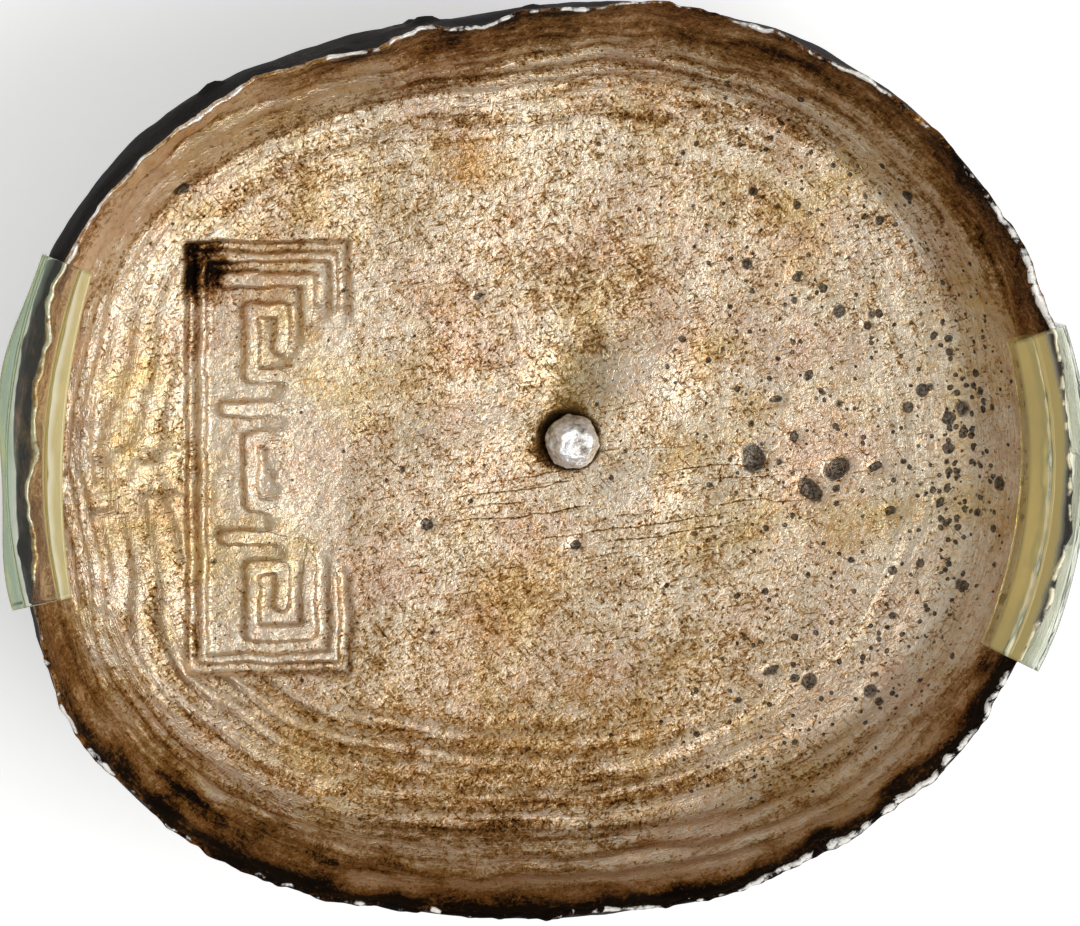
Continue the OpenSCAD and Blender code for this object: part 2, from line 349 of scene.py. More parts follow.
from_bead = np.hypot(x - BEAD_X, y - BEAD_Y)
left_side = soft(1.5, -1.5, (x - BEAD_X) * cosine(WIDE_SIDE) + (y - BEAD_Y) * sine(WIDE_SIDE))
moat_edge = BEAD_D / 2 + MOAT_W * (0.65 + 0.5 * lumps(plain, 1.3, 10)) * (0.2 + 0.9 * left_side)
moat = -MOAT_DEPTH * (1 - soft(BEAD_D / 2 - 0.2, moat_edge, from_bead))
socket = -(SOCKET_DEPTH - MOAT_DEPTH + STEM_GAP) * (from_bead < STEM_D / 2 + SOCKET_GAP)
print("moat reaches up to", round(float(moat_edge[from_bead < 4].max()), 2), "mm from the bead's middle")

# %% Gas pits
PIT_DEPTH = 0.25
# The large pits, each as its place, its half length, its half width and its tilt
PITS = (
    (14.3, -0.3, 1.7, 1.3, 100),
    (19.6, -1.0, 1.35, 1.25, 0),
    (17.9, -2.4, 1.6, 0.9, 125),
    (22.1, -0.8, 0.6, 0.5, 40),
    (23.0, -3.7, 0.55, 0.5, 0),
    (16.8, 1.2, 0.6, 0.5, 20),
    (15.7, 3.6, 0.7, 0.45, 20),
    (17.1, 11.4, 0.6, 0.5, 60),
    (21.6, 8.2, 0.6, 0.45, 0),
    (26.2, -3.1, 0.55, 0.5, 0),
    (26.5, -4.5, 0.55, 0.45, 30),
    (15.5, -13.8, 0.7, 0.5, 40),
    (-6.8, -4.4, 0.6, 0.5, 0),
    (2.7, -5.9, 0.65, 0.55, 0),
    (-3.4, 10.1, 0.5, 0.45, 0),
    (-22.3, 17.0, 0.8, 0.7, 60),
)
pitted = np.max([bowl(*pit) for pit in PITS], axis=0)
print("large pits:", len(PITS))

# %% [markdown]
# ## The struck panel
# A punch sank a long panel into the left of the floor, deeper at its left, and left a raised border.
# On this part the panel holds a plain running key fret of three hooks. Its strokes are found by each
# point's distance to the fret's lines, so their edges stay soft, as on a worn casting.

# %% Lines of the fret
STROKE_W, STROKE_H, FRET_X, HOOKS = 0.95, 0.6, 2.6, 3
HOOK_PITCH, STROKE_EDGE = 8.2, 0.1
SHAKE_X, SHAKE_Y = ((0.16, 1.6, 12), (0.06, 0.6, 35)), ((0.16, 1.6, 13), (0.06, 0.6, 36))
HOOK = ((-1, 3.1), (1, 3.1), (1, -3.0), (-0.4, -3.0), (-0.4, 1.2), (0.35, 1.2), (0.35, -1.2))


def to_line(px, py, start, end):
    """Distance from each point to the line from start to end."""
    (x0, y0), (x1, y1) = start, end
    length = (x1 - x0) ** 2 + (y1 - y0) ** 2
    t = np.clip(((px - x0) * (x1 - x0) + (py - y0) * (y1 - y0)) / length, 0, 1)
    return np.hypot(px - x0 - t * (x1 - x0), py - y0 - t * (y1 - y0))


panel_x, panel_y = x - PANEL_X, y - PANEL_Y
shaky_x = panel_x + uneven(plain, SHAKE_X)
shaky_y = panel_y + uneven(plain, SHAKE_Y)
lines = []
for i in range(HOOKS):
    corners = [(FRET_X * across, up + HOOK_PITCH * (i - 1)) for across, up in HOOK]
    lines += zip(corners[:-1], corners[1:])
to_fret = np.min([to_line(shaky_x, shaky_y, *line) for line in lines], axis=0)
stroke = 1 - soft(STROKE_W / 2 - STROKE_EDGE, STROKE_W / 2 + STROKE_EDGE, to_fret)
print("fret lines:", len(lines))

# %% Panel, border and wear
PANEL_LIFT, BORDER_GAP, BORDER_W, BORDER_H, WORN_H = 0.1, 0.7, 0.6, 0.4, 0.9
edge = np.minimum(PANEL_W / 2 - np.abs(shaky_x), PANEL_L / 2 - np.abs(shaky_y))
in_panel = soft(-0.1, 0.2, edge)
border = soft(BORDER_GAP - 0.1, BORDER_GAP + 0.12, edge)
border = border * (1 - soft(BORDER_GAP + BORDER_W - 0.12, BORDER_GAP + BORDER_W + 0.1, edge))
worn = soft(-0.4, 3.4, panel_x) * (1 - soft(4.5, 9, np.abs(panel_y - 1)))
worn = np.clip(worn + 0.5 * lumps(plain, 2, 14) * (worn > 0.02), 0, 1)
ground = FLOOR_H + PANEL_LIFT + 0.05 * lumps(plain, 0.7, 15)
struck = ground + np.maximum(BORDER_H * border, STROKE_H * stroke) + WORN_H * worn
print("panel points:", int((in_panel > 0).sum()))

# %% Shape the dish
near_crest = soft(0.9, 1, climb)
relief = ripples + swell + layers + lumpy + cast_grain + hollow + dents - PIT_DEPTH * pitted
shaped = plain + read(ingot, "normal") * (relief * (1 - near_crest))[:, None]
floor_level = shaped[:, 2].copy()
sunk = np.minimum(floor_level, struck)
shaped[:, 2] = floor_level + (sunk - floor_level) * in_panel + moat + socket
print("panel is sunk by up to", (floor_level - shaped[:, 2])[in_panel > 0.5].max().round(2), "mm")

# %% [markdown]
# ## The ragged rim
# The crest is where the silver froze against the air: torn, thin, and rubbed bright. Waves carry the
# slow wander, and noise of several sizes gives the burrs. It fades out a little below the crest, so
# that the wall keeps its smooth run.

# %% Burrs on the rim
BURRS_IN = ((0.24, 3.6, 16), (0.2, 1.4, 17), (0.12, 0.6, 37))
BURRS_UP, BURR_MOST = ((0.2, 2.6, 18), (0.16, 1.0, 19)), 0.22
burr_in = uneven(around, BURRS_IN) * (1 + 0.3 * hump(a, 178, 16))
burr_up = uneven(around, BURRS_UP) + 0.08 * lumps(plain, 0.4, 20)
shaped[:, 0] -= near_crest * burr_in * cosine(a)
shaped[:, 1] -= near_crest * burr_in * sine(a)
shaped[:, 2] += near_crest * np.minimum(burr_up, BURR_MOST)
write(ingot, shaped)
print("rim between", shaped[over > 0, 2].min().round(2), "and", shaped[over > 0, 2].max().round(2), "mm")

# %% [markdown]
# ## What the tarnish follows
# Silver darkens where hands and cloth don't reach: up the wall, in troughs, in pits and in grooves.
# It stays bright on the crest and on ridges. Each point of the mesh keeps these as numbers, which
# the silver's material reads, so the colours sit on the form and not on the view. Painted shade and
# painted highlights ride on the same numbers, on the walls, at the right of the floor and round the
# bead.

# %% Tarnish and painted shade of the floor and the wall
# How dark the wall is halfway up and under the rim, every 45 degrees from the right. These are partly
# tarnish and partly painted shade on the sides of the wall that fall dark
WALL_TONES = (0.62, 0.36, 0.33, -0.12, -0.02, 0.58, -0.12, -0.1)
RIM_TONES = (0.98, 0.70, 0.78, 0.26, 0.22, 0.92, 1.15, 1.10)
EIGHTHS = np.arange(0, 360, 45)
# How much darker the floor is towards a side, and where in mm that starts and is full
SIDES = ((0.08, 6, 20, -y), (0.04, 3, 10, -y), (0.04, 9, 22, y))
# The same in some directions only: each direction and the angle at which it is gone come last
ZONES = (
    (0.20, 14, 22, -y, 258, 36),
    # The next two zones, towards the right, are painted light: they lighten the floor that slopes away
    # from the softbox and lies in the right wall's shadow
    (-0.15, 10, 20, x, 0, 70),
    (-0.20, 10, 5.5, inset, 0, 42),
    (-0.26, 12, 7, inset, 178, 52),
    (-0.10, 13, 6, inset, 228, 40),
    (-0.24, 13, 5, inset, 316, 38),
)
FLOOR_TONE, RIDGE_TONE = 0.03, 1.2

wall_tone = np.interp(a, EIGHTHS, WALL_TONES, period=360)
rim_tone = np.interp(a, EIGHTHS, RIM_TONES, period=360)
floor_tone = FLOOR_TONE + 0.08 * lumps(plain, 6, 21)
floor_tone += sum(amount * soft(start, full, side) for amount, start, full, side in SIDES)
for amount, start, full, side, at, span in ZONES:
    floor_tone += amount * soft(start, full, side) * hump(a, at, span)
late = 0.28 * hump(a, 0, 60)
tone = floor_tone + (wall_tone - floor_tone) * soft(late, late + 0.4, climb)
tone += (rim_tone - tone) * soft(0.46, 0.86, climb + 0.2 * lumps(plain, 3, 22))
smudge = 0.36 * streaks(14, 0.8, 41) + 0.22 * streaks(5, 0.5, 42)
tone += smudge * (0.45 * soft(13, 6, inset) + 0.55 * on_wall)
patches = 0.16 * lumps(plain, 1.8, 38) + 0.5 * hump(a, 232, 50) * lumps(plain, 2.8, 49)
tone += patches * on_wall - RIDGE_TONE * (ripples + layers + dents)
print("tarnish from", tone.min().round(2), "to", tone.max().round(2))

# %% Tarnish of the panel, and painted shade and highlights round the bead
# Distance from an edge beyond which it leaves no mark
EDGE_FAR = 1.2
# Painted shade in the hollow and in a band above the bead, and painted highlights on the three mounds
# round it
PAINTED_SHADE = ((0.12, 2.0, 4.2, 5.5, 3.8, 56), (0.2, 3.9, 7.3, 2.2, 1.5, 40), (0.17, 3, 11.4, 11, 2.8, -6))
PAINTED_HIGHLIGHTS = ((1, 6.2, -2.4, 4.4, 2.8, 20), (1, 7, 5.7, 5, 3.4, 40), (0.6, -3.1, 2.6, 3, 3.8))

groove = in_panel * (1 - np.maximum(border, stroke)) * (1 - worn)
outer_groove = in_panel * soft(BORDER_GAP + 0.1, BORDER_GAP - 0.1, edge) * (1 - worn)
tone += groove * (0.16 * soft(5, 12, panel_y) + 0.1 * soft(-5, -11, panel_y)) - 0.33 * in_panel
tone += outer_groove * (0.1 * soft(-3, -4.6, panel_x) + 0.6 * lumps(plain, 1.6, 47))
black_corner = in_panel * bowl(PANEL_X - 4.6, PANEL_Y + 12.4, 4.6, 3.8)
tone += 1.3 * black_corner
to_border = np.abs(edge - BORDER_GAP - BORDER_W / 2) - BORDER_W / 2
to_edge = np.minimum(np.minimum(to_fret - STROKE_W / 2, to_border), edge) + EDGE_FAR * worn
to_edge = np.where(edge > 0, np.minimum(to_edge, EDGE_FAR), EDGE_FAR)
# Round the bead the floor is darker in its crevice: a little all round, and much darker and wider on the
# side away from the softbox, where it is the bead's painted shadow
crevice_and_shadow_w = 0.2 + 1.3 * left_side + 0.5 * lumps(plain, 0.9, 43)
crevice_and_shadow = 1 - soft(BEAD_D / 2 - 0.1, BEAD_D / 2 + crevice_and_shadow_w, from_bead)
painted_highlights = bowls(PAINTED_HIGHLIGHTS)
tone += (0.15 + 0.5 * left_side) * crevice_and_shadow + bowls(PAINTED_SHADE) - 0.16 * painted_highlights
print("darkest point:", tone.max().round(2))

# %% Numbers that the silver reads
# How bare the crest is, every 45 degrees from the right, and how ragged that is
BARE = (0.65, 0.6, 0.4, 0.55, 0.7, -0.15, 0.1, 0.75)
TORN_LUMPS = ((1.2, 3.0, 23), (1.0, 0.8, 46))
AMBER_SPOTS = ((1, -4.1, 18.7, 3.6, 2.8), (0.7, 3.0, -15.2, 1.8, 1.4))
GAS_SPOTS = ((1.2, 27.2, -7.6, 3.4, 1.8, 60), (0.9, 27, 1, 14, 5.5, 90))

torn = np.interp(a, EIGHTHS, BARE, period=360) + uneven(around, TORN_LUMPS)
torn = np.clip(torn + 0.7 * lumps(plain, 0.35, 44), 0, 1)
amber = bowls(AMBER_SPOTS) + 0.05 * (groove + outer_groove)
amber += 0.3 * soft(6, 18, -y) * (1 - in_panel) + 0.2 * on_wall
gas = 0.5 + 0.6 * soft(-2, 20, x) + bowls(GAS_SPOTS)
# The bare number also holds the painted highlights on the mounds round the bead
dish_marks = {
    "tarnish": tone,
    "pits": pitted,
    "bare": sine(over) * torn + 0.34 * painted_highlights,
    "amber": np.clip(amber - 3 * black_corner, 0, 1),
    "gas": gas * (1 - soft(0.1, 0.5, climb)),
    "grit": 1 - 0.35 * soft(0, 0.35, climb),
    "scored": np.minimum(1, 1.6 * bowl(6, -3.2, 17, 5, 4)),
    "flow": flow,
    "to_edge": to_edge,
    "olive": bowl(2.0, 4.2, 6, 4, 56),
    "lines": soft(0.7, 1.8, inset) * (1 - soft(6, 13, inset)),
}


def keep(obj, name, values):
    """Stores one number for each point of a mesh, for the material to read."""
    attribute = obj.data.attributes.new(name, "FLOAT", "POINT")
    attribute.data.foreach_set("value", np.asarray(values, dtype=np.float32))


for name, values in dish_marks.items():
    keep(ingot, name, values)
print("numbers kept at each point:", len(dish_marks))

# %% [markdown]
# ## The outer shell
# Outside, the silver took the skin of the mould: a flared wall, pocked by gas towards a base that is
# honeycombed all over. A circle, extruded ring by ring into a tube and closed at the bottom by a grid
# of cells, has the right count of points, and each ring is then set on the section.

# %% A tube with a closed end
COLUMNS, ROWS, LIP_ROWS = 400, 40, 10

bpy.ops.object.select_all(action="DESELECT")
bpy.ops.mesh.primitive_circle_add(vertices=COLUMNS, radius=1)
shell = bpy.context.object
edit("EDGE")
for _ in range(ROWS):
    bpy.ops.mesh.extrude_region_move(TRANSFORM_OT_translate={"value": (0, 0, -1)})
bpy.ops.mesh.fill_grid(span=COLUMNS // 4)
bpy.ops.object.mode_set(mode="OBJECT")
print("shell:", len(shell.data.vertices), "points")

# %% Set each ring on the outer section
LIP_DROP = 0.5

tube = read(shell)
row = np.round(-tube[:, 2])
a = np.degrees(np.arctan2(tube[:, 1], tube[:, 0])) % 360
rise = np.clip(1 - row / LIP_ROWS, 0, 1)
lip_inset = crest_line(a) * rise**2
lip_h = BELLY_H + (crest_h(a) - CREST_ROUND - LIP_DROP - BELLY_H) * rise
turn = 90 * np.clip((ROWS - row) / (ROWS - LIP_ROWS), 0, 1)
wall_inset = BASE_INSET * (1 - sine(turn) ** (2 / WALL_FULLNESS))
wall_h = BELLY_H * (1 - cosine(turn) ** (2 / WALL_FULLNESS))
inset = np.where(row < LIP_ROWS, lip_inset, wall_inset)
reach = (oval(a) - inset) * np.hypot(tube[:, 0], tube[:, 1])
height = np.where(row < LIP_ROWS, lip_h, wall_h)
outside = np.column_stack((reach * cosine(a), reach * sine(a), height))
write(shell, outside)
print("shell from", outside.min(0).round(2), "to", outside.max(0).round(2), "mm")

# %% Cast skin of the outside
POCK_SIZE, POCK_DEPTH, BASE_POCK_DEPTH, OUTER_GRIT = 2.6, 0.45, 0.5, 0.3
SKIN_LUMPS = ((0.22, 7, 25), (0.12, 2.4, 26), (0.05, 1, 27))

near_base = 1 - soft(3, 13, height)
cell = np.array([noise.voronoi(p)[0][0] for p in (outside / POCK_SIZE).tolist()])
pock = (1 - soft(0.15, 0.5, cell)) * soft(0.1, 0.4, lumps(outside, 5, 24) + near_base - 0.25)
under = soft(1, 0.2, height)
cast_skin = uneven(outside, SKIN_LUMPS) * soft(0, 3, height) * soft(0, 3, row)
cast_skin = (cast_skin - POCK_DEPTH * pock * soft(0, 4, row)) * (1 - under)
shaped = outside + read(shell, "normal") * cast_skin[:, None]
shaped[:, 2] = np.maximum(shaped[:, 2], 0) + BASE_POCK_DEPTH * pock * under
write(shell, shaped)
dark = 0.9 + 0.5 * pock + 0.2 * lumps(outside, 4, 28) - 0.9 * cast_skin - 0.3 * under
dark += (0.3 - (0.5 + 0.5 * lumps(outside, 1.4, 50)) * hump(a, 178, 24)) * soft(12, 6, row)
shell_marks = {"tarnish": dark, "gas": 0.5 * near_base, "grit": OUTER_GRIT, "to_edge": EDGE_FAR}
for name in dish_marks:
    keep(shell, name, shell_marks.get(name, 0) + 0 * row)
print("pocks cover", round(100 * float((pock > 0.5).mean())), "% of the outside")

# %% Join the dish and the shell at the rim
bpy.ops.object.select_all(action="DESELECT")
shell.select_set(True)
ingot.select_set(True)
bpy.context.view_layer.objects.active = ingot
bpy.ops.object.join()
edit("EDGE", "DESELECT")
bpy.ops.mesh.select_non_manifold()
bpy.ops.mesh.bridge_edge_loops()
bpy.ops.mesh.select_all(action="SELECT")
bpy.ops.mesh.remove_doubles(threshold=0.001 * MM)
bpy.ops.mesh.normals_make_consistent(inside=False)
bpy.ops.mesh.select_all(action="DESELECT")
bpy.ops.mesh.select_non_manifold()
bpy.ops.object.mode_set(mode="OBJECT")
open_edges = sum(edge.select for edge in ingot.data.edges)
bpy.ops.object.shade_smooth()
ingot.data.calc_loop_triangles()
print("casting:", len(ingot.data.loop_triangles), "triangles,", open_edges, "open edges")

# %% [markdown]
# ## The bead
# The last drop of silver stands in its moat like a small hammered ball on a stem. An ico sphere has
# even faces with no poles, a bisect cuts it flat underneath, and an extrude draws the stem. Flat
# facets come from cells of noise: each point is pulled in towards the middle of its cell.

# %% Ball and stem
BEAD_H, BEAD_RISE, FACET, FACET_DEPTH, BALL_SHARE = 1.9, 0.3, 1.25, 0.08, 1.03
DIMPLES = ((0.1, 1.1, 30), (0.05, 0.5, 31), (0.02, 0.22, 39))

bpy.ops.object.select_all(action="DESELECT")
bpy.ops.mesh.primitive_ico_sphere_add(subdivisions=6, radius=BEAD_D / 2 * MM)
bead = bpy.context.object
bead.name = "bright_bead"
ball = read(bead) / MM
flats = np.array([noise.voronoi(p)[0][0] for p in (ball / FACET + 3).tolist()])
ball *= (BALL_SHARE - FACET_DEPTH * (1 - flats**2) - uneven(ball, DIMPLES))[:, None]
blunt_top = BEAD_H - BEAD_RISE - FACET_DEPTH + 0.1 * lumps(ball, 0.8, 32)
ball[:, 2] = np.minimum(ball[:, 2], blunt_top)
write(bead, ball + (BEAD_X, BEAD_Y, FLOOR_H + BEAD_RISE))
print("bead:", len(bead.data.polygons), "faces")

# %% Cut it flat and draw the stem
STEM_SHARE = 0.76

edit("EDGE")
cut_at = (BEAD_X * MM, BEAD_Y * MM, (FLOOR_H - MOAT_DEPTH / 2) * MM)
bpy.ops.mesh.bisect(plane_co=cut_at, plane_no=(0, 0, -1), use_fill=True, clear_outer=True)
bpy.ops.mesh.select_mode(type="FACE")
bpy.ops.mesh.extrude_region_move()
bpy.ops.transform.resize(value=(STEM_SHARE, STEM_SHARE, 1))
drop = (SOCKET_DEPTH - MOAT_DEPTH / 2 - STEM_GAP) * MM
bpy.ops.mesh.extrude_region_move(TRANSFORM_OT_translate={"value": (0, 0, -drop)})
bpy.ops.mesh.select_all(action="SELECT")
bpy.ops.mesh.normals_make_consistent(inside=False)
bpy.ops.object.mode_set(mode="OBJECT")
bpy.ops.object.shade_smooth_by_angle(angle=math.radians(50))
print("bead from", (read(bead).min(0) / MM).round(2), "to", (read(bead).max(0) / MM).round(2), "mm")

# %% [markdown]
# ## The clear clips
# Each clip is a moulded channel of clear plastic that hooks over the rim: a thin outer leg, a bridge,
# and an inner leg with a roll along its top. It is bent to the circle that runs along the rim there.
# A flat outline of the section, its corners bevelled, is extruded in short steps into a straight bar,
# and the bar is then bent round its circle.

# %% Circle that a clip is bent to
CLIP_L, CLIP_TURN, CLIP_GAP = 21.5, -4, 0.3
LEFT_AT, RIGHT_AT = 180 + CLIP_TURN, CLIP_TURN
FIRST, MIDDLE, LAST = 0, 8, 16


def under_clip(at):
    """Directions of the rim under a clip."""
    half = math.degrees(math.asin(CLIP_L / 2 / float(oval(at))))
    return at + half * np.linspace(-1, 1, LAST + 1)


def plan_point(a, inset=0):
    return (oval(a) - inset) * np.array((cosine(a), sine(a)))


def clip_circle(at):
    """Centre and radius of the circle through a clip's ends and its middle on the widest line."""
    ends = plan_point(under_clip(at)[[FIRST, MIDDLE, LAST]])
    x, y, rest = np.linalg.solve(np.column_stack((2 * ends.T, np.ones(3))), (ends**2).sum(0))
    return np.array((x, y)), math.sqrt(rest + x * x + y * y)


print("clips are bent to, in mm:", [round(clip_circle(at)[1], 1) for at in (LEFT_AT, RIGHT_AT)])

# %% Outline of the channel
OUTER_LEG_T, OUTER_LEG_L, INNER_LEG_L, BRIDGE_T, ROLL_H = 0.5, 5, 2.6, 0.6, 0.4
INNER_LEG_T = 1.12
bridge_h = max(crest_h(under_clip(at)).max() for at in (LEFT_AT, RIGHT_AT)) + CLIP_GAP


def channel(at):
    """Outline of a clip's section, each point as its inset from the clip's circle and its height."""
    (centre_x, centre_y), radius = clip_circle(at)
    a = under_clip(at)
    low, top = bridge_h - INNER_LEG_L, bridge_h + BRIDGE_T
    climb = (low - floor_at(1)) / (crest_h(a) - CREST_ROUND - floor_at(1))
    wall, _ = inner_wall(a, climb, crest_inset(a) + RIM_T)
    rim_x, rim_y = plan_point(a)
    wall_x, wall_y = plan_point(a, wall)
    outer = radius - np.hypot(rim_x - centre_x, rim_y - centre_y).max() - CLIP_GAP
    inner = radius - np.hypot(wall_x - centre_x, wall_y - centre_y).min() + CLIP_GAP
    return (
        (outer - OUTER_LEG_T, bridge_h - OUTER_LEG_L),
        (outer, bridge_h - OUTER_LEG_L),
        (outer, bridge_h),
        (inner, bridge_h),
        (inner, low),
        (inner + INNER_LEG_T, low),
        (inner + INNER_LEG_T, top + ROLL_H),
        (inner, top + ROLL_H),
        (inner, top),
        (outer - OUTER_LEG_T, top),
    )


print("bridge at", round(float(bridge_h), 2), "mm")

# %% One clip
CLIP_BEVEL, CLIP_STEPS, LEG_WAVES, DRAWN_IN = 0.17, 72, 300, 1.2
# Where the outline has the two corners at the top of its slot
SLOT_TOP = slice(2, 4)


def make_clip(name, at, **shape):
    outline = channel(at)
    bpy.ops.object.select_all(action="DESELECT")
    bpy.ops.mesh.primitive_circle_add(vertices=len(outline), radius=1, fill_type="NGON")
    clip = bpy.context.object
    clip.name = name
    for point, (inset, height) in zip(clip.data.vertices, outline):
        point.co = (0, inset, height)
    edit("VERT")
    bpy.ops.mesh.bevel(offset=CLIP_BEVEL, segments=3, affect="VERTICES")
    bpy.ops.mesh.select_mode(type="FACE")
    bpy.ops.mesh.select_all(action="SELECT")
    for _ in range(CLIP_STEPS):
        bpy.ops.mesh.extrude_region_move(TRANSFORM_OT_translate={"value": (2 / CLIP_STEPS, 0, 0)})
    bpy.ops.object.mode_set(mode="OBJECT")
    bend(clip, at, outline, **shape)
    edit("FACE")
    bpy.ops.mesh.normals_make_consistent(inside=False)
    bpy.ops.object.mode_set(mode="OBJECT")
    bpy.ops.object.shade_smooth_by_angle(angle=math.radians(35))
    bpy.ops.object.modifier_add(type="WEIGHTED_NORMAL")
    bpy.ops.object.modifier_apply(modifier=clip.modifiers[0].name)
    print(name, len(clip.data.polygons), "faces")
    return clip


def bend(clip, at, outline, leg_t, leg_end_t, wave, outer_t, spread):
    """Bends the straight bar, thins its inner leg to the ends, and fits its outer leg to the rim."""
    along, inset, height = (read(clip) - (1, 0, 0)).T
    across = (inset - inset.min()) / (inset.max() - inset.min())
    keep(clip, "across", np.interp(across, *spread))
    (outer, _), (inner, _) = outline[SLOT_TOP]
    thin = leg_end_t + (leg_t - leg_end_t) * (1 - along**2)
    inset = np.where(inset > inner, inner + (inset - inner) * thin / INNER_LEG_T, inset)
    outer_share = (outer_t + wave * sine(LEG_WAVES * along + at)) / OUTER_LEG_T
    inset = np.where(inset < outer, outer + (inset - outer) * outer_share, inset)
    inset -= (outer + CLIP_GAP) * along**2 * soft(outer + DRAWN_IN, outer, inset)
    (centre_x, centre_y), radius = clip_circle(at)
    (x0, x1), (y0, y1) = plan_point(under_clip(at)[[FIRST, LAST]])
    middle = math.degrees(math.atan2((y0 + y1) / 2 - centre_y, (x0 + x1) / 2 - centre_x))
    a = middle + math.degrees(math.asin(math.hypot(x1 - x0, y1 - y0) / 2 / radius)) * along
    reach = radius - inset
    write(clip, np.column_stack((centre_x + reach * cosine(a), centre_y + reach * sine(a), height)))


# The clips differ a little. Shares of the way across each section are paired with where they lie in
# the tints below: the left clip's bridge is the clearer one, and so is the right clip's outer leg
# The right clip's spread holds the painted dark line of the tints along its inner leg, and the left
# clip's runs on to the painted bright line
LEFT_SPREAD = ((0, 0.2, 0.69, 0.76, 1), (0, 0.2, 0.43, 0.77, 1))
RIGHT_SPREAD = ((0, 0.2, 0.66, 0.7, 0.76, 0.8, 1), (0.16, 0.2, 0.66, 0.745, 0.745, 0.69, 0.58))
LEFT_SHAPE = dict(leg_t=INNER_LEG_T, leg_end_t=0.75, wave=0.26, outer_t=OUTER_LEG_T, spread=LEFT_SPREAD)
RIGHT_SHAPE = dict(leg_t=1.6, leg_end_t=1.4, wave=0.05, outer_t=0.32, spread=RIGHT_SPREAD)
left_clip = make_clip("left_clear_clip", LEFT_AT, **LEFT_SHAPE)
right_clip = make_clip("right_clear_clip", RIGHT_AT, **RIGHT_SHAPE)

# %% [markdown]
# ## Finishes
# A material here is a small tree of nodes. One function adds a node with its settings and its links,
# and another turns the written sRGB colours to the linear values that the renderer works in. Pattern
# sizes are real sizes in millimetres. Inputs are often given in order: a Map Range's are its value,
# where that starts and ends, and what it becomes there, from 0 to 1 if nothing is said.

# %% Helpers for materials


def srgb(code):
    parts = [int(code[i : i + 2], 16) / 255 for i in (1, 3, 5)]
    return [c / 12.92 if c <= 0.04045 else ((c + 0.055) / 1.055) ** 2.4 for c in parts] + [1]


def per(size):
    """Scale of a pattern whose features are size mm across."""
    return 1 / (size * MM)


def add_node(tree, kind, links, stops=(), **settings):
    """Adds a node. links gives its inputs, in order or by name: each is a value, an output of another
    node, or all of a node's outputs, of which the first is meant."""
    node = tree.nodes.new("ShaderNode" + kind)
    for name, value in settings.items():
        setattr(node, name, value)
    for place, _ in stops[2:]:
        node.color_ramp.elements.new(place)
    for element, (place, code) in zip(node.color_ramp.elements if stops else (), stops):
        element.position = place
        element.color = srgb(code)
    for key, value in links.items() if isinstance(links, dict) else enumerate(links):
        if isinstance(value, bpy.types.bpy_prop_collection):
            value = value[0]
        if isinstance(value, bpy.types.NodeSocket):
            tree.links.new(value, node.inputs[key])
        else:
            node.inputs[key].default_value = value
    return node.outputs


def new_material(name):
    """A material, the function that adds a node to it, and its piece's own coordinates."""
    material = bpy.data.materials.new(name)
    material.use_nodes = True
    material.node_tree.nodes.clear()
    add = partial(add_node, material.node_tree)
    return material, add, add("TexCoord", {})["Object"]


def finish_material(material, skin, *pieces):
    """Ends a material in its shader and gives it to its pieces."""
    tree = material.node_tree
    shader = add_node(tree, "BsdfPrincipled", skin)
    add_node(tree, "OutputMaterial", (shader,))
    for piece in pieces:
        piece.data.materials.append(material)
    print("nodes in", material.name + ":", len(tree.nodes))


print("linear value of mid grey:", round(srgb("#808080")[0], 3))

# %% [markdown]
# ## Tarnished cast silver
# Cast silver is grainy and covered in fine knocks. Old tarnish is a thin sulphide film, which goes
# from straw over tan and brown to black as it thickens. So one number, the tarnish, runs along a ramp
# of those colours. On top comes what a magnifier shows: short scratches, both dark and bright, specks,
# a few long score lines, and small round gas pits.

# %% Clouds and specks
silver, add, place = new_material("tarnished_cast_silver")
marks = {name: add("Attribute", {}, attribute_name=name)["Fac"] for name in dish_marks}
# Each noise is the size of its features in mm, its detail and its roughness
NOISES = ((0.2, 2, 0.6), (0.45, 3, 0.7), (1.3, 5, 0.68), (7, 5, 0.62))
fine, grain, coarse, cloud = (
    add("TexNoise", {"Vector": place, "Scale": per(size), "Detail": detail, "Roughness": rough})
    for size, detail, rough in NOISES
)
tints = add("SeparateColor", (cloud["Color"],))
hues = add("SeparateColor", (grain["Color"],))
speck = add("MapRange", (fine, 0.55, 0.66, 0, marks["grit"]))
print("marks read by the silver:", len(marks))

# %% Short scratches
# A noise that is stretched to the length and width of a scratch gives dark ones at its highest values
# and bright ones at its lowest. Each set is its direction, and the length and width in mm
SCRATCHES = ((12, 0.8, 0.16), (74, 0.6, 0.15), (-46, 0.7, 0.17), (36, 0.55, 0.15))
dull, bright = 0, 0
for tilt, long, wide in SCRATCHES:
    along = {"Vector": place, "Rotation": (0, 0, math.radians(tilt))}
    along["Scale"] = (long * MM, wide * MM, MM)
    along = add("Mapping", along, vector_type="TEXTURE")
    mark = add("TexNoise", {"Vector": along, "Scale": 1, "Detail": 2})
    high = add("MapRange", (mark, 0.6, 0.74))
    low = add("MapRange", (mark, 0.4, 0.26))
    dull = add("Math", (dull, high), operation="MAXIMUM")
    bright = add("Math", (bright, low), operation="MAXIMUM")
dull, bright = (add("Math", (mark, marks["grit"]), operation="MULTIPLY") for mark in (dull, bright))
print("sets of scratches:", len(SCRATCHES))

